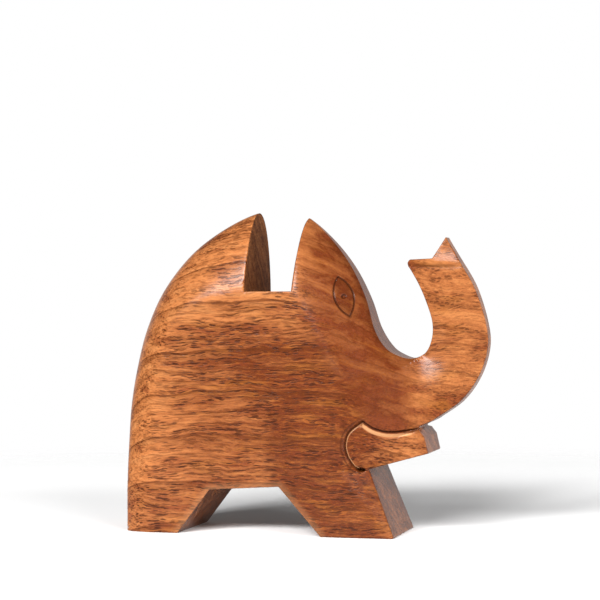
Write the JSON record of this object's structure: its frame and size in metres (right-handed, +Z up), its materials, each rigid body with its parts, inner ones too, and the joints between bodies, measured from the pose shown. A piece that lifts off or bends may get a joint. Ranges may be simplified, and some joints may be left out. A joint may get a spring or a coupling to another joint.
{
  "type": "elephant figurine",
  "caption": "Carved wooden elephant figurine with a raised trunk and an upright slot across its back that holds a phone or cards.",
  "frame": {"origin": "on the ground, midway along the overall length and at mid-thickness", "axes": "+X towards the trunk, +Y across the thickness towards the elephant's left side, +Z up"},
  "size_m": [0.1294, 0.038, 0.1138],
  "materials": {
    "waxed_wood": "satin wax over open-pored reddish brown hardwood, grain along +X"
  },
  "bodies": {
    "root": {"wooden_body": "waxed_wood"}
  },
  "joints": []
}
